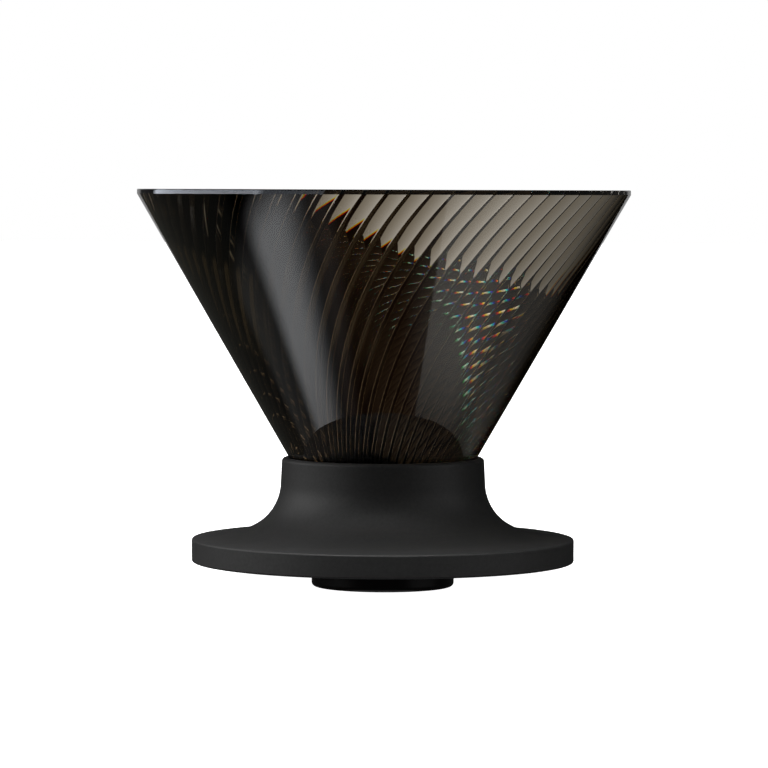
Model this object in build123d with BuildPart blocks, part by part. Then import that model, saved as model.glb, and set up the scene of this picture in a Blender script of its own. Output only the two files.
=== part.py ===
from build123d import *
from math import cos, degrees, radians, sin, tan
import os

os.makedirs("parts", exist_ok=True)

# Conical pour over dripper, millimetres. +Z is up, along the axis of the cone.
# The origin is on the axis, at the foot of the locking ring.

# ---- driving dimensions -------------------------------------------------------------------

HEIGHT = 93.5
RIM_R = 58.0
LIP_HEIGHT = 1.1
LIP_ROUND = 0.25
HALF_ANGLE = 30.0
FLOOR_WALL = 1.25

# Saw-tooth ribs inside the cone. Each has a steep side and a long gentle side, and they turn
# about the axis as they climb, faster towards the rim. A rib deepens below the rim, then
# shrinks with the cone, and fades out at its foot.
RIB_COUNT = 72
RIB_RIM_HEIGHT = 1.35
RIB_DEEPENING_PER_MM = 0.0245
RIB_HEIGHT_TO_RADIUS = 0.0386
RIB_STEEP_WIDTH = 1.0
RIB_STEEP_SHARE = 0.33
RIB_START_ANGLE = 2.5
RIB_DATUM_Z = 31.0
RIB_TURN_PER_MM = 0.425
RIB_TURN_GAIN = 0.003
RIB_FOOT_Z = 12.0
RIB_FADE_HEIGHT = 14.0
RIB_FOOT_SHARE = 0.2
RIB_STEPS = 11
BORE_OVERRUN = 1.0

OUTLET_R = 9.0
DRIP_EDGE_Z = 9.5

# Threaded neck below the cone, and the ring that screws on it
NECK_R = 14.0
NECK_WALL = 1.6
NECK_BOTTOM_Z = 4.0
THREAD_LEAD = 3.0
THREAD_TURNS = 1.5
THREAD_DEPTH = 0.8
THREAD_ROOT = 1.9
THREAD_CREST = 1.0
THREAD_BITE = 0.3
NECK_THREAD_Z = 5.0

RING_R = 16.8
RING_UPPER_R = 16.6
THREAD_CLEARANCE = 0.2
RING_BORE_R = NECK_R + THREAD_DEPTH + THREAD_CLEARANCE
RING_TOP_Z = 12.4
RING_FOOT_ROUND = 1.0
RING_BORE_ROUND = 0.4
RING_TOP_CHAMFER = 0.2

WASHER_THICKNESS = 0.8
WASHER_BORE_R = 15.4
WASHER_R = 16.6

# Holder: collar, concave flare and flange in one turned shape
COLLAR_TOP_Z = 30.4
COLLAR_TOP_R = 23.85
COLLAR_TOP_ROUND = 0.9
FLARE_TOP_Z = 24.7
FLARE_TOP_R = 24.13
FLARE_UPPER_R = 11.75
FLARE_UPPER_ARC = 60.0
FLARE_LOWER_R = 20.0
FLANGE_SLOPE = 5.0
FLANGE_R = 45.1
FLANGE_BOTTOM_Z = 5.9
FLANGE_TOP_ROUND = 0.4
FLANGE_BOTTOM_ROUND = 0.45
HOLDER_NECK_BORE_R = 15.3
RING_CLEARANCE = 0.2
HOLDER_RING_BORE_R = RING_R + RING_CLEARANCE
HOLDER_LEAD_IN = 0.3
SEAT_GAP = 0.35

# Seal between the cone and the holder's tapered seat
SEAL_CONTACT_Z = 25.0
SEAL_SECTION_R = 1.0
SEAL_CLEARANCE = 0.02
SEAL_GROOVE_CLEARANCE = 0.03

# ---- derived geometry ----------------------------------------------------------------------

SLOPE = tan(radians(HALF_ANGLE))
LIP_Z = HEIGHT - LIP_HEIGHT
RIB_PITCH = 360.0 / RIB_COUNT
MATCH_TOLERANCE = 0.01
BORE_TOP_Z = HEIGHT + BORE_OVERRUN


def cone_radius(height):
    """Radius of the cone's outer surface at a height."""
    return RIM_R - (LIP_Z - height) * SLOPE


def cone_height(radius):
    """Height at which the cone's outer surface has a radius."""
    return LIP_Z - (RIM_R - radius) / SLOPE


def floor_radius(height):
    """Radius of the bore between two ribs."""
    return cone_radius(height) - FLOOR_WALL / cos(radians(HALF_ANGLE))


def crest_radius(height):
    """Radius of the bore at a rib's crest."""
    upper = RIB_RIM_HEIGHT + RIB_DEEPENING_PER_MM * (HEIGHT - height)
    rib_height = min(upper, RIB_HEIGHT_TO_RADIUS * cone_radius(height))
    fade = (height - RIB_FOOT_Z) / RIB_FADE_HEIGHT
    return floor_radius(height) - rib_height * min(1.0, max(RIB_FOOT_SHARE, fade))


def steep_angle(height):
    """Angle in degrees that the steep side of a rib takes up."""
    full = degrees(RIB_STEEP_WIDTH / floor_radius(height))
    return min(full, RIB_STEEP_SHARE * RIB_PITCH)


def rib_turn(height):
    """Angle in degrees that the ribs have turned by at a height."""
    rise = height - RIB_DATUM_Z
    return RIB_START_ANGLE + RIB_TURN_PER_MM * rise + RIB_TURN_GAIN * rise ** 2


def floor_point(height, rib=0):
    """Point on the floor line of a rib, where its steep side starts."""
    return Vector(floor_radius(height), 0, height).rotate(Axis.Z, rib_turn(height) + rib * RIB_PITCH)


def crest_point(height, rib=0):
    """Point on the crest line of a rib."""
    angle = rib_turn(height) + steep_angle(height) + rib * RIB_PITCH
    return Vector(crest_radius(height), 0, height).rotate(Axis.Z, angle)


def rib_line(point_at):
    """Spline along one line of a rib, from the ribs' foot to above the rim."""
    step_height = (BORE_TOP_Z - RIB_FOOT_Z) / RIB_STEPS
    return Spline(*[point_at(RIB_FOOT_Z + step * step_height) for step in range(RIB_STEPS + 1)])


def saw_tooth_face(height):
    """Flat end of the ribbed bore at a height."""
    corners = []
    for rib in range(RIB_COUNT):
        corners.append(floor_point(height, rib))
        corners.append(crest_point(height, rib))
    return make_face(Polyline(*corners, close=True))


def ribbed_bore():
    """The space inside the ribs, as a solid: two faces a rib, and a flat face at each end."""
    floor_line = rib_line(floor_point)
    crest_line = rib_line(crest_point)
    next_floor_line = Rot(0, 0, RIB_PITCH) * floor_line
    steep_side = Face.make_surface_from_curves(floor_line, crest_line)
    gentle_side = Face.make_surface_from_curves(crest_line, next_floor_line)
    faces = [saw_tooth_face(RIB_FOOT_Z), saw_tooth_face(BORE_TOP_Z)]
    for rib in range(RIB_COUNT):
        faces.append(Rot(0, 0, rib * RIB_PITCH) * steep_side)
        faces.append(Rot(0, 0, rib * RIB_PITCH) * gentle_side)
    return Solid(Shell(faces))


def thread_outline(outward):
    """Section of a thread ridge: x from the wall outwards, or inwards for outward = -1."""
    Polyline(
        (-THREAD_BITE * outward, -THREAD_ROOT / 2),
        (0, -THREAD_ROOT / 2),
        (THREAD_DEPTH * outward, -THREAD_CREST / 2),
        (THREAD_DEPTH * outward, THREAD_CREST / 2),
        (0, THREAD_ROOT / 2),
        (-THREAD_BITE * outward, THREAD_ROOT / 2),
        close=True,
    )


def section_plane(helix):
    """Plane across the start of a helix, with x pointing away from the axis."""
    return Plane(origin=helix @ 0, x_dir=(1, 0, 0), z_dir=helix % 0)


def circles_at(part, height, radius):
    """Circular edges of a part at a height and a radius."""
    rings = part.edges().filter_by(GeomType.CIRCLE)
    rings = rings.filter_by(lambda edge: abs(edge.arc_center.Z - height) < MATCH_TOLERANCE)
    return rings.filter_by(lambda edge: abs(edge.radius - radius) < MATCH_TOLERANCE)


# ---- brew_cone: clear cone with spiral ribs inside, and its threaded neck --------------------

bore_space = ribbed_bore()
skirt_r = NECK_R - NECK_WALL
foot_floor_r = floor_radius(RIB_FOOT_Z)
thread_rise = THREAD_LEAD * THREAD_TURNS

with BuildPart() as brew_cone:
    with BuildSketch(Plane.XZ):
        with BuildLine():
            Polyline(
                (0, DRIP_EDGE_Z),
                (cone_radius(DRIP_EDGE_Z), DRIP_EDGE_Z),
                (skirt_r, cone_height(skirt_r)),
                (skirt_r, NECK_BOTTOM_Z),
                (NECK_R, NECK_BOTTOM_Z),
                (NECK_R, cone_height(NECK_R)),
                (RIM_R, LIP_Z),
                (RIM_R, HEIGHT),
                (0, HEIGHT),
                close=True,
            )
        make_face()
    revolve(axis=Axis.Z)
    fillet(circles_at(brew_cone, HEIGHT, RIM_R), LIP_ROUND)
    add(bore_space, mode=Mode.SUBTRACT)
    # plain conical throat from the ribs' foot to the outlet
    with BuildSketch(Plane.XZ):
        with BuildLine():
            Polyline(
                (0, DRIP_EDGE_Z),
                (OUTLET_R, DRIP_EDGE_Z),
                (OUTLET_R, RIB_FOOT_Z - (foot_floor_r - OUTLET_R) / SLOPE),
                (foot_floor_r, RIB_FOOT_Z),
                (0, RIB_FOOT_Z),
                close=True,
            )
        make_face()
    revolve(axis=Axis.Z, mode=Mode.SUBTRACT)
    with BuildLine():
        neck_helix = Helix(THREAD_LEAD, thread_rise, NECK_R, center=(0, 0, NECK_THREAD_Z))
    with BuildSketch(section_plane(neck_helix)):
        with BuildLine():
            thread_outline(1)
        make_face()
    sweep(path=neck_helix, is_frenet=True)
brew_cone.part.label = "brew_cone"

# ---- seat_ring: round silicone seal in a groove of the holder's taper ------------------------

seal_offset = SEAL_SECTION_R + SEAL_CLEARANCE
seal_centre_r = cone_radius(SEAL_CONTACT_Z) + seal_offset * cos(radians(HALF_ANGLE))
seal_centre_z = SEAL_CONTACT_Z - seal_offset * sin(radians(HALF_ANGLE))

with BuildPart() as seat_ring:
    with BuildSketch(Plane.XZ):
        with Locations((seal_centre_r, seal_centre_z)):
            Circle(SEAL_SECTION_R)
    revolve(axis=Axis.Z)
seat_ring.part.label = "seat_ring"

# ---- holder: collar, flare and flange ---------------------------------------------------------

ledge_z = RING_TOP_Z + WASHER_THICKNESS

with BuildPart() as holder:
    with BuildSketch(Plane.XZ):
        with BuildLine():
            Line((COLLAR_TOP_R, COLLAR_TOP_Z), (FLARE_TOP_R, FLARE_TOP_Z))
            upper_flare = JernArc((FLARE_TOP_R, FLARE_TOP_Z), (0, -1), FLARE_UPPER_R, FLARE_UPPER_ARC)
            lower_arc = 90 - FLARE_UPPER_ARC - FLANGE_SLOPE
            lower_flare = JernArc(upper_flare @ 1, upper_flare % 1, FLARE_LOWER_R, lower_arc)
            flare_foot = lower_flare @ 1
            flange_drop = (FLANGE_R - flare_foot.X) * tan(radians(FLANGE_SLOPE))
            Polyline(
                (flare_foot.X, flare_foot.Y),
                (FLANGE_R, flare_foot.Y - flange_drop),
                (FLANGE_R, FLANGE_BOTTOM_Z),
                (HOLDER_RING_BORE_R, FLANGE_BOTTOM_Z),
                (HOLDER_RING_BORE_R, ledge_z),
                (HOLDER_NECK_BORE_R, ledge_z),
                (HOLDER_NECK_BORE_R, cone_height(HOLDER_NECK_BORE_R - SEAT_GAP)),
                (cone_radius(COLLAR_TOP_Z) + SEAT_GAP, COLLAR_TOP_Z),
                (COLLAR_TOP_R, COLLAR_TOP_Z),
            )
        make_face()
    revolve(axis=Axis.Z)
    with BuildSketch(Plane.XZ):
        with Locations((seal_centre_r, seal_centre_z)):
            Circle(SEAL_SECTION_R + SEAL_GROOVE_CLEARANCE)
    revolve(axis=Axis.Z, mode=Mode.SUBTRACT)
    fillet(circles_at(holder, COLLAR_TOP_Z, COLLAR_TOP_R), COLLAR_TOP_ROUND)
    fillet(circles_at(holder, flare_foot.Y - flange_drop, FLANGE_R), FLANGE_TOP_ROUND)
    fillet(circles_at(holder, FLANGE_BOTTOM_Z, FLANGE_R), FLANGE_BOTTOM_ROUND)
    chamfer(circles_at(holder, FLANGE_BOTTOM_Z, HOLDER_RING_BORE_R), HOLDER_LEAD_IN)
holder.part.label = "holder"

# ---- locking_ring: threaded ring whose foot is the centring spigot -----------------------------

with BuildPart() as locking_ring:
    with BuildSketch(Plane.XZ):
        with BuildLine():
            Polyline(
                (RING_BORE_R, 0),
                (RING_R, 0),
                (RING_R, FLANGE_BOTTOM_Z),
                (RING_UPPER_R, FLANGE_BOTTOM_Z),
                (RING_UPPER_R, RING_TOP_Z),
                (RING_BORE_R, RING_TOP_Z),
                close=True,
            )
        make_face()
    revolve(axis=Axis.Z)
    fillet(circles_at(locking_ring, 0, RING_R), RING_FOOT_ROUND)
    fillet(circles_at(locking_ring, 0, RING_BORE_R), RING_BORE_ROUND)
    chamfer(circles_at(locking_ring, RING_TOP_Z, RING_UPPER_R), RING_TOP_CHAMFER)
    chamfer(circles_at(locking_ring, RING_TOP_Z, RING_BORE_R), RING_TOP_CHAMFER)
    with BuildLine():
        ring_thread_z = NECK_THREAD_Z - THREAD_LEAD / 2
        ring_helix = Helix(THREAD_LEAD, thread_rise, RING_BORE_R, center=(0, 0, ring_thread_z))
    with BuildSketch(section_plane(ring_helix)):
        with BuildLine():
            thread_outline(-1)
        make_face()
    sweep(path=ring_helix, is_frenet=True)
locking_ring.part.label = "locking_ring"

# ---- ring_washer: silicone washer between the locking ring and the holder's ledge ---------------

with BuildPart() as ring_washer:
    with BuildSketch(Plane.XY.offset(RING_TOP_Z)):
        Circle(WASHER_R)
        Circle(WASHER_BORE_R, mode=Mode.SUBTRACT)
    extrude(amount=WASHER_THICKNESS)
ring_washer.part.label = "ring_washer"

for piece in (brew_cone, seat_ring, holder, locking_ring, ring_washer):
    export_step(piece.part, f"parts/{piece.part.label}.step")
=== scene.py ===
from math import cos, pi, radians, sin, tan

import bpy
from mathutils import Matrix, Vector


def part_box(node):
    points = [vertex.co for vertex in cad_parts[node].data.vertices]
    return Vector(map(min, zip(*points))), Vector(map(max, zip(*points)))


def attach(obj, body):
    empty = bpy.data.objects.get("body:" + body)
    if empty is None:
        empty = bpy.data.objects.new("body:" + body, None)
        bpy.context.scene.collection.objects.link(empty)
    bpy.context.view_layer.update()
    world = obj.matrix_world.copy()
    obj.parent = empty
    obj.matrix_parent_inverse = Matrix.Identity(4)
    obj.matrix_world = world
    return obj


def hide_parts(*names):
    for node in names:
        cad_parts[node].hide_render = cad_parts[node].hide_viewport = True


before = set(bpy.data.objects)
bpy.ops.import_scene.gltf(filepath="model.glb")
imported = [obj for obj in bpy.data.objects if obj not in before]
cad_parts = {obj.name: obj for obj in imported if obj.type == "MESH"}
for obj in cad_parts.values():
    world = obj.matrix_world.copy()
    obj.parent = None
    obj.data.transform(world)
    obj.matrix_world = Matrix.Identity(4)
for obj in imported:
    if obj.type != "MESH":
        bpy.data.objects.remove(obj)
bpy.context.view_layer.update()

MM = 0.001

# ---- sizes of the cone, in metres -------------------------------------------------------------

RIM_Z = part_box("brew_cone")[1].z
NECK_FOOT_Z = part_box("brew_cone")[0].z
RIM_R = 58.0 * MM
LIP_HEIGHT = 1.1 * MM
LIP_Z = RIM_Z - LIP_HEIGHT
LIP_EDGE_ROUND = 0.25 * MM
LIP_STEP = 0.15 * MM
SLOPE = tan(radians(30))
FLOOR_WALL = 1.25 * MM / cos(radians(30))

RIB_COUNT = 72
RIB_PITCH = 2 * pi / RIB_COUNT
RIB_RIM_HEIGHT = 1.35 * MM
RIB_DEEPENING = 0.0245
RIB_HEIGHT_TO_RADIUS = 0.0386
# the CAD model's steep flank is wider, 1.0 mm
RIB_STEEP_WIDTH = 0.75 * MM
RIB_STEEP_SHARE = 0.33
VALLEY_ROUND = 0.22 * MM
CREST_ROUND = 0.16 * MM
GENTLE_CROWN = 0.14
RIB_FOOT_Z = 12.0 * MM
RIB_FADE_HEIGHT = 14.0 * MM
RIB_FOOT_SHARE = 0.2
FULL_ROUND_HEIGHT = 1.0 * MM

# turn of the ribs, in degrees, against the height in millimetres above a starting height
TURN_START_MM = 31.0
TURN_AT_START = 2.5
TURN_PER_MM = 0.425
TURN_PER_MM_SQUARED = 0.003

OUTLET_R = 9.0 * MM
DRIP_EDGE_Z = 9.5 * MM
NECK_R = 14.0 * MM
SKIRT_R = 12.4 * MM

GENTLE_SHARES = (0.12, 0.3, 0.5, 0.7, 0.88)
CORNER_STEPS = 4
OUTSIDE_STEPS = 6
LIP_STEPS = 4
INSIDE_STEPS = 60
SHARP_ANGLE = radians(25)


def cone_radius(z):
    return RIM_R - (LIP_Z - z) * SLOPE


def cone_height(radius):
    return LIP_Z - (RIM_R - radius) / SLOPE


def floor_radius(z):
    return cone_radius(z) - FLOOR_WALL


def rib_height(z):
    """Ribs deepen from the rim down, then shrink with the radius and fade out at the foot."""
    upper = RIB_RIM_HEIGHT + RIB_DEEPENING * (RIM_Z - z)
    height = min(upper, RIB_HEIGHT_TO_RADIUS * cone_radius(z))
    fade = (z - RIB_FOOT_Z) / RIB_FADE_HEIGHT
    return height * min(1.0, max(RIB_FOOT_SHARE, fade))


def rib_turn(z):
    """Angle that the ribs have turned by at a height, in radians."""
    rise = z / MM - TURN_START_MM
    return radians(TURN_AT_START + TURN_PER_MM * rise + TURN_PER_MM_SQUARED * rise ** 2)


# ---- cone mesh ------------------------------------------------------------------------------

def rounded_corner(corner, before, after, radius, steps):
    """Arc that rounds a corner of the rib's section, as points of (along, up)."""
    to_before = (before - corner).normalized()
    to_after = (after - corner).normalized()
    half = to_before.angle(to_after) / 2
    reach = radius / tan(half)
    centre = corner + (to_before + to_after).normalized() * (radius / sin(half))
    start = corner + to_before * reach
    points = []
    sweep = pi - 2 * half
    turn = 1 if to_before.cross(to_after) < 0 else -1
    spoke = start - centre
    for k in range(steps + 1):
        a = turn * sweep * k / steps
        along = spoke.x * cos(a) - spoke.y * sin(a)
        up = spoke.x * sin(a) + spoke.y * cos(a)
        points.append(centre + Vector((along, up)))
    return points


def rib_section(z):
    """Section of one rib at a height, from its valley to the next: (along the bore, up)."""
    pitch = floor_radius(z) * RIB_PITCH
    height = rib_height(z)
    steep = min(RIB_STEEP_WIDTH, RIB_STEEP_SHARE * pitch)
    fade = min(1.0, height / FULL_ROUND_HEIGHT)
    valley = Vector((0, 0))
    crest = Vector((steep, height))

    def gentle(t):
        along = steep + (pitch - steep) * t
        return Vector((along, height * (1 - (1 - GENTLE_CROWN) * t - GENTLE_CROWN * t * t)))

    before_valley = gentle(0.9) - Vector((pitch, 0))
    points = rounded_corner(valley, before_valley, crest, VALLEY_ROUND * fade, CORNER_STEPS)
    points += rounded_corner(crest, valley, gentle(0.1), CREST_ROUND * fade, CORNER_STEPS)
    points += [gentle(t) for t in GENTLE_SHARES]
    return [(p.x / pitch, p.y) for p in points]


COLUMNS = RIB_COUNT * len(rib_section(RIM_Z))


def ribbed_ring(z):
    points = []
    section = rib_section(z)
    for rib in range(RIB_COUNT):
        for share, height in section:
            angle = rib_turn(z) + (rib + share) * RIB_PITCH
            radius = floor_radius(z) - height
            points.append((radius * cos(angle), radius * sin(angle), z))
    return points


def plain_ring(radius, z, start):
    points = []
    for k in range(COLUMNS):
        angle = start + 2 * pi * k / COLUMNS
        points.append((radius * cos(angle), radius * sin(angle), z))
    return points


def cone_rings():
    """Rings of points round the wall, and how many columns the last ring lags the first by."""
    step = 2 * pi / COLUMNS
    foot_start = rib_turn(RIB_FOOT_Z)
    whole_columns = round((rib_turn(RIM_Z) - foot_start) / step)
    top_start = foot_start + whole_columns * step
    rings = []
    # outside, from the neck's foot to the lip
    neck_top_z = cone_height(NECK_R)
    for z in (NECK_FOOT_Z, 0.5 * (NECK_FOOT_Z + neck_top_z), neck_top_z):
        rings.append(plain_ring(NECK_R, z, top_start))
    for k in range(1, OUTSIDE_STEPS + 1):
        z = neck_top_z + (LIP_Z - neck_top_z) * k / OUTSIDE_STEPS
        rings.append(plain_ring(cone_radius(z), z, top_start))
    rings.append(plain_ring(RIM_R, LIP_Z + LIP_STEP, top_start))
    for k in range(LIP_STEPS + 1):
        a = pi / 2 * k / LIP_STEPS
        radius = RIM_R - LIP_EDGE_ROUND * (1 - cos(a))
        z = RIM_Z - LIP_EDGE_ROUND * (1 - sin(a))
        rings.append(plain_ring(radius, z, top_start))
    # inside, from the rim to the ribs' foot
    for k in range(INSIDE_STEPS + 1):
        rings.append(ribbed_ring(RIM_Z + (RIB_FOOT_Z - RIM_Z) * k / INSIDE_STEPS))
    # from the ribs' foot through the outlet and back down inside the neck's skirt
    throat_z = RIB_FOOT_Z - (floor_radius(RIB_FOOT_Z) - OUTLET_R) / SLOPE
    for radius, z in (
        (OUTLET_R, throat_z),
        (OUTLET_R, DRIP_EDGE_Z),
        (cone_radius(DRIP_EDGE_Z), DRIP_EDGE_Z),
        (SKIRT_R, cone_height(SKIRT_R)),
        (SKIRT_R, NECK_FOOT_Z),
    ):
        rings.append(plain_ring(radius, z, foot_start))
    return rings, whole_columns


def build_cone():
    """Closed skin of the cone, joined ring to ring and from the last ring back to the first."""
    rings, shift = cone_rings()
    mesh = bpy.data.meshes.new("brew_cone_clear")
    verts = [p for ring in rings for p in ring]
    faces = []
    for ring in range(len(rings)):
        after = (ring + 1) % len(rings)
        turn = shift if after == 0 else 0
        for k in range(COLUMNS):
            a = ring * COLUMNS + k
            b = ring * COLUMNS + (k + 1) % COLUMNS
            c = after * COLUMNS + (k + 1 - turn) % COLUMNS
            d = after * COLUMNS + (k - turn) % COLUMNS
            faces.append((a, b, c, d))
    mesh.from_pydata(verts, [], faces)
    mesh.validate()
    mesh.update()
    for polygon in mesh.polygons:
        polygon.use_smooth = True
    obj = bpy.data.objects.new("brew_cone_clear", mesh)
    bpy.context.scene.collection.objects.link(obj)
    mesh.set_sharp_from_angle(angle=SHARP_ANGLE)
    return obj


# ---- materials ------------------------------------------------------------------------------

FLOW_SCALE = 90.0
FLOW_DEPTH = 0.0025 * MM
CLOUD_SCALE = 55.0
FINE_GRAIN_SCALE = 2.6
FINE_GRAIN_DEPTH = 0.4


def new_material(name):
    material = bpy.data.materials.new(name)
    material.use_nodes = True
    nodes = material.node_tree.nodes
    return material, nodes, material.node_tree.links, nodes["Principled BSDF"]


def noise(nodes, links, coords, scale, detail):
    node = nodes.new("ShaderNodeTexNoise")
    node.inputs["Scale"].default_value = scale
    node.inputs["Detail"].default_value = detail
    links.new(coords.outputs["Object"], node.inputs["Vector"])
    return node.outputs["Fac"]


def spread(nodes, links, value, low, high):
    """Value from 0.3 to 0.7 spread between two numbers."""
    node = nodes.new("ShaderNodeMapRange")
    for name, number in (("From Min", 0.3), ("From Max", 0.7), ("To Min", low), ("To Max", high)):
        node.inputs[name].default_value = number
    links.new(value, node.inputs["Value"])
    return node.outputs[0]


def spread_colour(nodes, links, value, dark, light):
    node = nodes.new("ShaderNodeMix")
    node.data_type = "RGBA"
    links.new(spread(nodes, links, value, 0.0, 1.0), node.inputs[0])
    node.inputs[6].default_value = (*dark, 1)
    node.inputs[7].default_value = (*light, 1)
    return node.outputs[2]


def bumped(nodes, links, height, distance, under=None):
    node = nodes.new("ShaderNodeBump")
    node.inputs["Strength"].default_value = 1.0
    node.inputs["Distance"].default_value = distance
    links.new(height, node.inputs["Height"])
    if under is not None:
        links.new(under, node.inputs["Normal"])
    return node.outputs[0]


def smoke_plastic():
    """Clear smoke-grey moulding. Its ribs are real shape. The surface only has faint flow waves."""
    material, nodes, links, shader = new_material("smoke_plastic")
    coords = nodes.new("ShaderNodeTexCoord")
    shader.inputs["Base Color"].default_value = (1, 1, 1, 1)
    shader.inputs["Roughness"].default_value = 0.0
    shader.inputs["IOR"].default_value = 1.57
    shader.inputs["Transmission Weight"].default_value = 1.0
    waves = noise(nodes, links, coords, FLOW_SCALE, 1.0)
    links.new(bumped(nodes, links, waves, FLOW_DEPTH), shader.inputs["Normal"])
    volume = nodes.new("ShaderNodeVolumeAbsorption")
    volume.inputs["Color"].default_value = (0.38, 0.32, 0.20, 1)
    volume.inputs["Density"].default_value = 1000.0
    links.new(volume.outputs["Volume"], nodes["Material Output"].inputs["Volume"])
    return material


def moulded(name, dark, light, smooth, rough, grain_scale, grain_depth):
    """Moulded black plastic or rubber: fine spark grain in its colour and surface, slow changes of gloss.
    """
    material, nodes, links, shader = new_material(name)
    coords = nodes.new("ShaderNodeTexCoord")
    cloud = noise(nodes, links, coords, CLOUD_SCALE, 3.0)
    speck = noise(nodes, links, coords, grain_scale, 2.0)
    fine = noise(nodes, links, coords, grain_scale * FINE_GRAIN_SCALE, 2.0)
    links.new(spread_colour(nodes, links, speck, dark, light), shader.inputs["Base Color"])
    links.new(spread(nodes, links, cloud, smooth, rough), shader.inputs["Roughness"])
    coarse = bumped(nodes, links, speck, grain_depth)
    links.new(bumped(nodes, links, fine, grain_depth * FINE_GRAIN_DEPTH, coarse), shader.inputs["Normal"])
    return material


def dress(obj, material):
    obj.data.materials.clear()
    obj.data.materials.append(material)


cone = build_cone()
dress(cone, smoke_plastic())
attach(cone, "cone")
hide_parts("brew_cone")
holder_look = moulded(
    "matte_black", dark=(0.026, 0.026, 0.026), light=(0.034, 0.034, 0.034),
    smooth=0.50, rough=0.60, grain_scale=1500.0, grain_depth=0.010 * MM)
dress(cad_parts["holder"], holder_look)
ring_look = moulded(
    "gloss_black", dark=(0.0035, 0.0022, 0.0018), light=(0.0055, 0.0036, 0.003),
    smooth=0.16, rough=0.26, grain_scale=2200.0, grain_depth=0.002 * MM)
dress(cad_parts["locking_ring"], ring_look)
rubber = moulded(
    "silicone", dark=(0.016, 0.016, 0.017), light=(0.026, 0.026, 0.027),
    smooth=0.42, rough=0.58, grain_scale=1800.0, grain_depth=0.006 * MM)
dress(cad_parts["seat_ring"], rubber)
dress(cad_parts["ring_washer"], rubber)

# ---- studio -----------------------------------------------------------------------------------


class Shading:
    """Small helper that wires math nodes in one node tree."""

    def __init__(self, tree):
        self.nodes = tree.nodes
        self.links = tree.links

    def put(self, socket, value):
        if isinstance(value, bpy.types.NodeSocket):
            self.links.new(value, socket)
        else:
            socket.default_value = value

    def math(self, operation, *values):
        node = self.nodes.new("ShaderNodeMath")
        node.operation = operation
        for socket, value in zip(node.inputs, values):
            self.put(socket, value)
        return node.outputs[0]

    def ramp(self, value, start, end):
        """0 before start and 1 after end, smooth between them. End may be under start."""
        node = self.nodes.new("ShaderNodeMapRange")
        node.interpolation_type = "SMOOTHSTEP"
        for name, number in (("From Min", start), ("From Max", end), ("To Min", 0.0), ("To Max", 1.0)):
            node.inputs[name].default_value = number
        self.links.new(value, node.inputs["Value"])
        return node.outputs[0]

    def span(self, value, low, high, low_soft, high_soft):
        """1 between low and high, falling smoothly to 0 over the soft widths outside them."""
        rise = self.ramp(value, low - low_soft, low)
        fall = self.ramp(value, high + high_soft, high)
        return self.product(rise, fall)

    def product(self, *values):
        total = values[0]
        for value in values[1:]:
            total = self.math("MULTIPLY", total, value)
        return total

    def scale(self, colour, weight):
        node = self.nodes.new("ShaderNodeVectorMath")
        node.operation = "SCALE"
        self.put(node.inputs[0], colour)
        self.put(node.inputs["Scale"], weight)
        return node.outputs[0]

    def sum(self, colours):
        total = colours[0]
        for colour in colours[1:]:
            node = self.nodes.new("ShaderNodeVectorMath")
            node.operation = "ADD"
            self.links.new(total, node.inputs[0])
            self.links.new(colour, node.inputs[1])
            total = node.outputs[0]
        return total

    def azimuth(self, x, y):
        """Degrees round the object. 0 is towards the camera and 90 is +X."""
        return self.math("DEGREES", self.math("ARCTAN2", x, self.math("MULTIPLY", y, -1.0)))

    def emission(self, colour):
        node = self.nodes.new("ShaderNodeEmission")
        self.links.new(colour, node.inputs["Color"])
        return node.outputs[0]


def flat_mesh(name, corners):
    mesh = bpy.data.meshes.new(name)
    mesh.from_pydata(corners, [], [tuple(range(len(corners)))])
    obj = bpy.data.objects.new(name, mesh)
    bpy.context.scene.collection.objects.link(obj)
    return obj


def disc_corners(radius, z):
    count = 96
    return [(radius * cos(2 * pi * k / count), radius * sin(2 * pi * k / count), z) for k in range(count)]


def seen_only_by(obj, *kinds):
    for kind in ("camera", "diffuse", "glossy", "transmission", "shadow", "volume_scatter"):
        setattr(obj, "visible_" + kind, kind in kinds)


def lamp_material(name):
    """Material whose surface is an emission that the caller wires up."""
    material = bpy.data.materials.new(name)
    material.use_nodes = True
    tree = material.node_tree
    tree.nodes.clear()
    out = tree.nodes.new("ShaderNodeOutputMaterial")
    coords = tree.nodes.new("ShaderNodeTexCoord")
    split = tree.nodes.new("ShaderNodeSeparateXYZ")
    tree.links.new(coords.outputs["Object"], split.inputs[0])
    return material, Shading(tree), split.outputs, out.inputs["Surface"]


def single_channel(colour, channel):
    """Red, green or blue part of a colour."""
    return tuple(value if index == channel else 0.0 for index, value in enumerate(colour))


FLOOR_R = 6.0
FLOOR_GLOW = 1.1


def white_floor():
    """Plain pale floor that only the camera sees. It is clear from below."""
    obj = flat_mesh("floor", disc_corners(FLOOR_R, 0.0))
    material, nodes, _, shader = new_material("pale_floor")
    shader.inputs["Base Color"].default_value = (0.8, 0.8, 0.8, 1)
    shader.inputs["Roughness"].default_value = 0.9
    shader.inputs["Emission Color"].default_value = (1, 1, 1, 1)
    shader.inputs["Emission Strength"].default_value = FLOOR_GLOW
    wires = Shading(material.node_tree)
    from_below = nodes.new("ShaderNodeNewGeometry").outputs["Backfacing"]
    surface = nodes["Material Output"].inputs["Surface"]
    clear_for(wires, from_below, shader.outputs[0], surface)
    dress(obj, material)
    seen_only_by(obj, "camera")


def walls_crossed(wires, count):
    """1 for rays that crossed at most this many walls of the clear cone."""
    path = wires.nodes.new("ShaderNodeLightPath")
    return wires.math("LESS_THAN", path.outputs["Transmission Depth"], 2.0 * count + 1.0)


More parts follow.
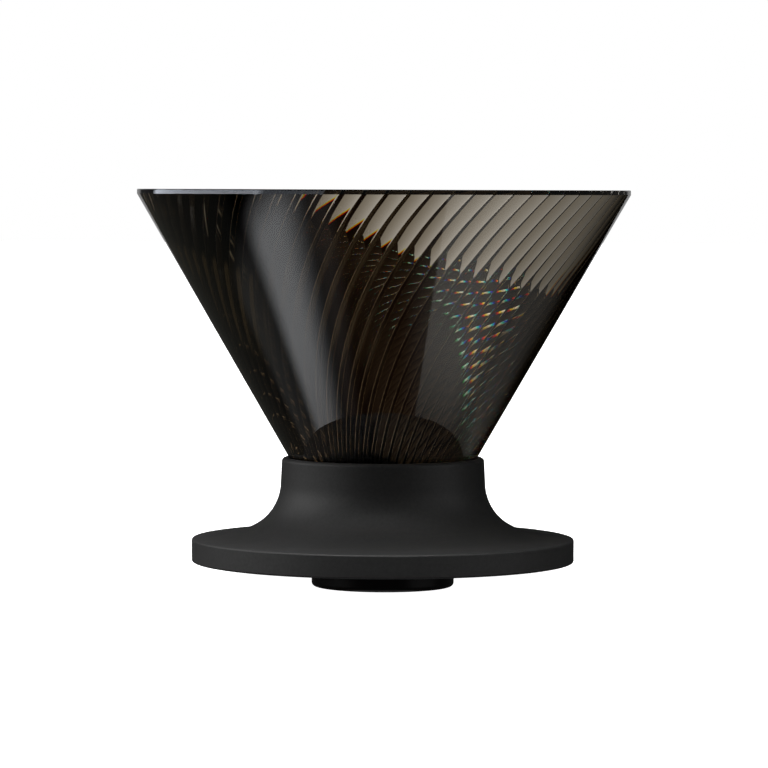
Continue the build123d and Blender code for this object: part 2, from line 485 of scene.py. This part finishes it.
def clear_for(wires, choice, shader, surface):
    """Shader that the chosen rays pass through untouched."""
    mix = wires.nodes.new("ShaderNodeMixShader")
    clear = wires.nodes.new("ShaderNodeBsdfTransparent")
    wires.links.new(choice, mix.inputs[0])
    wires.links.new(shader, mix.inputs[1])
    wires.links.new(clear.outputs[0], mix.inputs[2])
    wires.links.new(mix.outputs[0], surface)


# the lit sheet behind the object: its edges, its fade at the top, the shift between its colours
PANEL_Y = 0.6
PANEL_LEFT = -0.190
PANEL_RIGHT = 0.0
PANEL_LEFT_SOFT = 0.001
PANEL_RIGHT_SOFT = 0.08
PANEL_TOP = 0.17
PANEL_FADE = 0.17
PANEL_COLOUR = (0.80, 0.79, 0.79)
FRINGE = 0.004
# the brighter patch on it, the faint glow for rays through both walls, and a band for the lip
PATCH_COLOUR = (2.2, 2.1, 2.0)
GLOW_COLOUR = (0.11, 0.085, 0.065)
LIP_BAND_LOW = 0.0905
LIP_BAND_HIGH = 0.0955
LIP_BAND_COLOUR = (1.6, 1.5, 1.4)


def back_panel():
    """Bright panel behind the object, seen through its clear walls."""
    left, right, foot, top = -0.22, 0.2, -0.1, 0.36
    corners = [(left, PANEL_Y, foot), (right, PANEL_Y, foot), (right, PANEL_Y, top), (left, PANEL_Y, top)]
    obj = flat_mesh("back_panel", corners)
    material, wires, (x, _, z), surface = lamp_material("back_panel")
    up = wires.ramp(z, PANEL_TOP + PANEL_FADE, PANEL_TOP)
    parts = []
    for channel, shift in enumerate((-FRINGE, 0.0, FRINGE)):
        across = wires.span(x, PANEL_LEFT + shift, PANEL_RIGHT, PANEL_LEFT_SOFT, PANEL_RIGHT_SOFT)
        colour = single_channel(PANEL_COLOUR, channel)
        parts.append(wires.scale(colour, wires.product(across, up)))
    patch = wires.product(wires.span(x, 0.0, 0.07, 0.03, 0.03), wires.span(z, 0.02, 0.12, 0.03, 0.03))
    parts.append(wires.scale(PATCH_COLOUR, patch))
    through_one = walls_crossed(wires, 1)
    through_two = wires.math("SUBTRACT", 1.0, through_one)
    band = wires.span(z, LIP_BAND_LOW, LIP_BAND_HIGH, 0.001, 0.001)
    band = wires.product(band, wires.span(x, -0.04, 0.14, 0.02, 0.02), through_two)
    total = wires.sum([
        wires.scale(wires.sum(parts), through_one),
        wires.scale(GLOW_COLOUR, through_two),
        wires.scale(LIP_BAND_COLOUR, band),
    ])
    wires.links.new(wires.emission(total), surface)
    dress(obj, material)
    seen_only_by(obj, "transmission")


# the slatted panel: its lit part, its slats, and the shift between the colours
SIDE_X = -0.08
SIDE_NEAR = 0.095
SIDE_FAR = 0.130
SIDE_LOW = 0.072
SIDE_HIGH = 0.094
SIDE_SOFT = 0.015
SIDE_COLOUR = (8.5, 8.8, 9.6)
EDGE_SHIFT = 0.0008
SLAT_PITCH = 0.006
SLAT_SHIFT = 0.9


def side_panel():
    """Cool slatted panel on the left that the far ribs turn towards the camera."""
    near, far, foot, top = 0.0, 0.25, 0.06, 0.12
    corners = [(SIDE_X, near, foot), (SIDE_X, far, foot), (SIDE_X, far, top), (SIDE_X, near, top)]
    obj = flat_mesh("side_panel", corners)
    material, wires, (_, y, z), surface = lamp_material("side_panel")
    along = wires.span(y, SIDE_NEAR, SIDE_FAR, SIDE_SOFT, SIDE_SOFT)
    parts = []
    for channel, shift in enumerate((1, 0, -1)):
        up = wires.span(z, SIDE_LOW + EDGE_SHIFT * shift, SIDE_HIGH, 0.002, 0.01)
        turn = wires.math("MULTIPLY_ADD", z, 2 * pi / SLAT_PITCH, SLAT_SHIFT * shift)
        slat = wires.ramp(wires.math("COSINE", turn), -0.6, 0.5)
        colour = single_channel(SIDE_COLOUR, channel)
        parts.append(wires.scale(colour, wires.product(along, up, slat)))
    clear_for(wires, walls_crossed(wires, 1), wires.emission(wires.sum(parts)), surface)
    dress(obj, material)
    seen_only_by(obj, "transmission")


GLOW_R = 0.7
GLOW_Z = -0.5 * MM


def table_glow():
    """What the clear cone mirrors: patches of light round the object, just under the floor."""
    obj = flat_mesh("table_glow", disc_corners(GLOW_R, GLOW_Z))
    material, wires, (x, y, _), surface = lamp_material("table_glow")
    azimuth = wires.azimuth(x, y)
    squares = wires.math("ADD", wires.math("POWER", x, 2.0), wires.math("POWER", y, 2.0))
    out = wires.math("SQRT", squares)

    def patch(azimuths, soft, colour, *fades):
        across = wires.span(azimuth, *azimuths, *soft)
        return wires.scale(colour, wires.product(across, *fades))

    # The first two fades below are painted shadow: they darken the patches towards the object, in place
    # of the object's own shadow on a lit table. The third ends the patches far out.
    painted_shadow_fade = wires.ramp(out, 0.0, 0.088)
    painted_shadow_fade_right = wires.ramp(out, 0.035, 0.08)
    left_end = wires.ramp(out, 0.134, 0.114)
    parts = [
        # the pale band on the left of the cone, and the dimmer light on both sides of it
        patch((-62, -55), (14, 21), (1.7, 1.73, 1.78), painted_shadow_fade, left_end),
        patch((-90, -30), (12, 12), (0.14, 0.14, 0.14), painted_shadow_fade, left_end),
        # the grey sheet on the right
        patch((29.5, 50), (1.5, 38), (0.6, 0.58, 0.54), painted_shadow_fade_right),
        patch((40, 85), (30, 60), (0.25, 0.25, 0.24), painted_shadow_fade_right),
        # the brown middle and the dark left end
        patch((-28, 26), (12, 8), (0.07, 0.035, 0.018)),
        patch((-180, -85), (1, 15), (0.04, 0.04, 0.035)),
    ]
    path = wires.nodes.new("ShaderNodeLightPath")
    blurred = wires.math("SUBTRACT", 1.0, path.outputs["Is Singular Ray"])
    clear_for(wires, blurred, wires.emission(wires.sum(parts)), surface)
    dress(obj, material)
    seen_only_by(obj, "glossy")


class Surroundings:
    """Light from each direction far away, by azimuth and elevation in degrees."""

    def __init__(self):
        world = bpy.data.worlds.new("studio")
        bpy.context.scene.world = world
        world.use_nodes = True
        world.node_tree.nodes.clear()
        self.wires = Shading(world.node_tree)
        coords = self.wires.nodes.new("ShaderNodeTexCoord")
        split = self.wires.nodes.new("ShaderNodeSeparateXYZ")
        self.wires.links.new(coords.outputs["Generated"], split.inputs[0])
        x, y, z = split.outputs
        self.elevation = self.wires.math("DEGREES", self.wires.math("ARCSINE", z))
        self.azimuth = self.wires.azimuth(x, y)

    def window(self, azimuths, elevations, soft, colour):
        across = self.wires.span(self.azimuth, *azimuths, soft[0], soft[0])
        up = self.wires.span(self.elevation, *elevations, soft[1], soft[1])
        return self.wires.scale(colour, self.wires.product(across, up))

    def background(self, colour):
        node = self.wires.nodes.new("ShaderNodeBackground")
        self.wires.put(node.inputs["Color"], colour)
        return node.outputs[0]

    def finish(self, through, mirrored, soft):
        """What rays through the clear cone, sharply mirrored rays and all softer rays meet."""
        path = self.wires.nodes.new("ShaderNodeLightPath")
        sharp = self.wires.product(path.outputs["Is Glossy Ray"], path.outputs["Is Singular Ray"])
        shader = self.background(self.wires.sum(soft))
        for choice, light in ((sharp, mirrored), (path.outputs["Is Transmission Ray"], through)):
            shader = self.pick(choice, self.background(self.wires.sum(light)), shader)
        shader = self.pick(path.outputs["Is Camera Ray"], self.background((1, 1, 1, 1)), shader)
        out = self.wires.nodes.new("ShaderNodeOutputWorld")
        self.wires.links.new(shader, out.inputs["Surface"])

    def pick(self, choice, chosen, otherwise):
        mix = self.wires.nodes.new("ShaderNodeMixShader")
        self.wires.links.new(choice, mix.inputs[0])
        self.wires.links.new(otherwise, mix.inputs[1])
        self.wires.links.new(chosen, mix.inputs[2])
        return mix.outputs[0]


ALL_ROUND = (-180, 180)
ALL_HEIGHTS = (-90, 90)
STRAIGHT_DOWN = (-90, -66)
OTHER_SIDES = (0.7, 0.7, 0.7)
BEHIND = (0.3, 0.3, 0.3)

white_floor()
back_panel()
side_panel()
table_glow()
room = Surroundings()
room.finish(
    through=[
        room.window(ALL_ROUND, ALL_HEIGHTS, (1, 1), (0.003, 0.002, 0.001)),
        # low light behind on the right that the rounded rib edges pick up as thin lines
        room.window((151, 167), (-3, 9), (2, 2), (1.3, 1.05, 0.85)),
        room.window((88, 150), (-5, 25), (10, 5), (0.03, 0.027, 0.024)),
        # light for the thin lines near the right outline
        room.window((64, 84), (-50, -8), (4, 4), (0.9, 0.85, 0.8)),
        # light that the sides, the back and the bore are seen against from elsewhere
        room.window((-96, -55), (-5, 40), (5, 10), OTHER_SIDES),
        room.window((-35, 40), (-5, 40), (10, 10), OTHER_SIDES),
        room.window(ALL_ROUND, STRAIGHT_DOWN, (1, 6), OTHER_SIDES),
        room.window((106, 180), (-64, -22), (6, 6), OTHER_SIDES),
        room.window((-180, -128), (-64, -40), (6, 6), OTHER_SIDES),
    ],
    mirrored=[
        room.window(ALL_ROUND, ALL_HEIGHTS, (1, 1), (0.05, 0.05, 0.05)),
        # softbox on the left that lights the lip
        room.window((-130, -62), (-6, 16), (6, 6), (3.0, 3.2, 3.6)),
        room.window((-62, -28), (-6, 16), (1, 6), (0.7, 0.75, 0.85)),
        # white surroundings behind, mirrored by the outline
        room.window((160, 180), (-20, 40), (6, 5), BEHIND),
        room.window((-180, -160), (-20, 40), (6, 5), BEHIND),
    ],
    soft=[
        room.window(ALL_ROUND, ALL_HEIGHTS, (1, 1), (0.02, 0.02, 0.02)),
        # broad light above and in front, strongest high up
        room.window((-110, 45), (76, 86), (35, 20), (14.0, 14.0, 14.0)),
        # windows on the left and the right, and light from below for the underside
        room.window((-112, -62), (6, 36), (22, 8), (1.7, 1.7, 1.7)),
        room.window((52, 84), (4, 30), (14, 8), (0.9, 0.9, 0.9)),
        room.window(ALL_ROUND, STRAIGHT_DOWN, (1, 8), (0.4, 0.4, 0.4)),
    ],
)

# ---- camera -----------------------------------------------------------------------------------

CAMERA_DISTANCE = 0.929
FRAME_WIDTH_MM = 36.0
LENS_MM = 184.922
PITCH = radians(2.8211)
ROLL = radians(-0.2)

camera_data = bpy.data.cameras.new("camera")
camera_data.sensor_width = FRAME_WIDTH_MM
camera_data.lens = LENS_MM
camera_data.clip_start = 0.05
camera_data.clip_end = 20.0
camera = bpy.data.objects.new("camera", camera_data)
camera.location = (0.0, -CAMERA_DISTANCE, RIM_Z)
camera.rotation_euler = (pi / 2 - PITCH, ROLL, 0.0)
bpy.context.scene.collection.objects.link(camera)
bpy.context.scene.camera = camera
bpy.context.scene.view_settings.view_transform = "Standard"
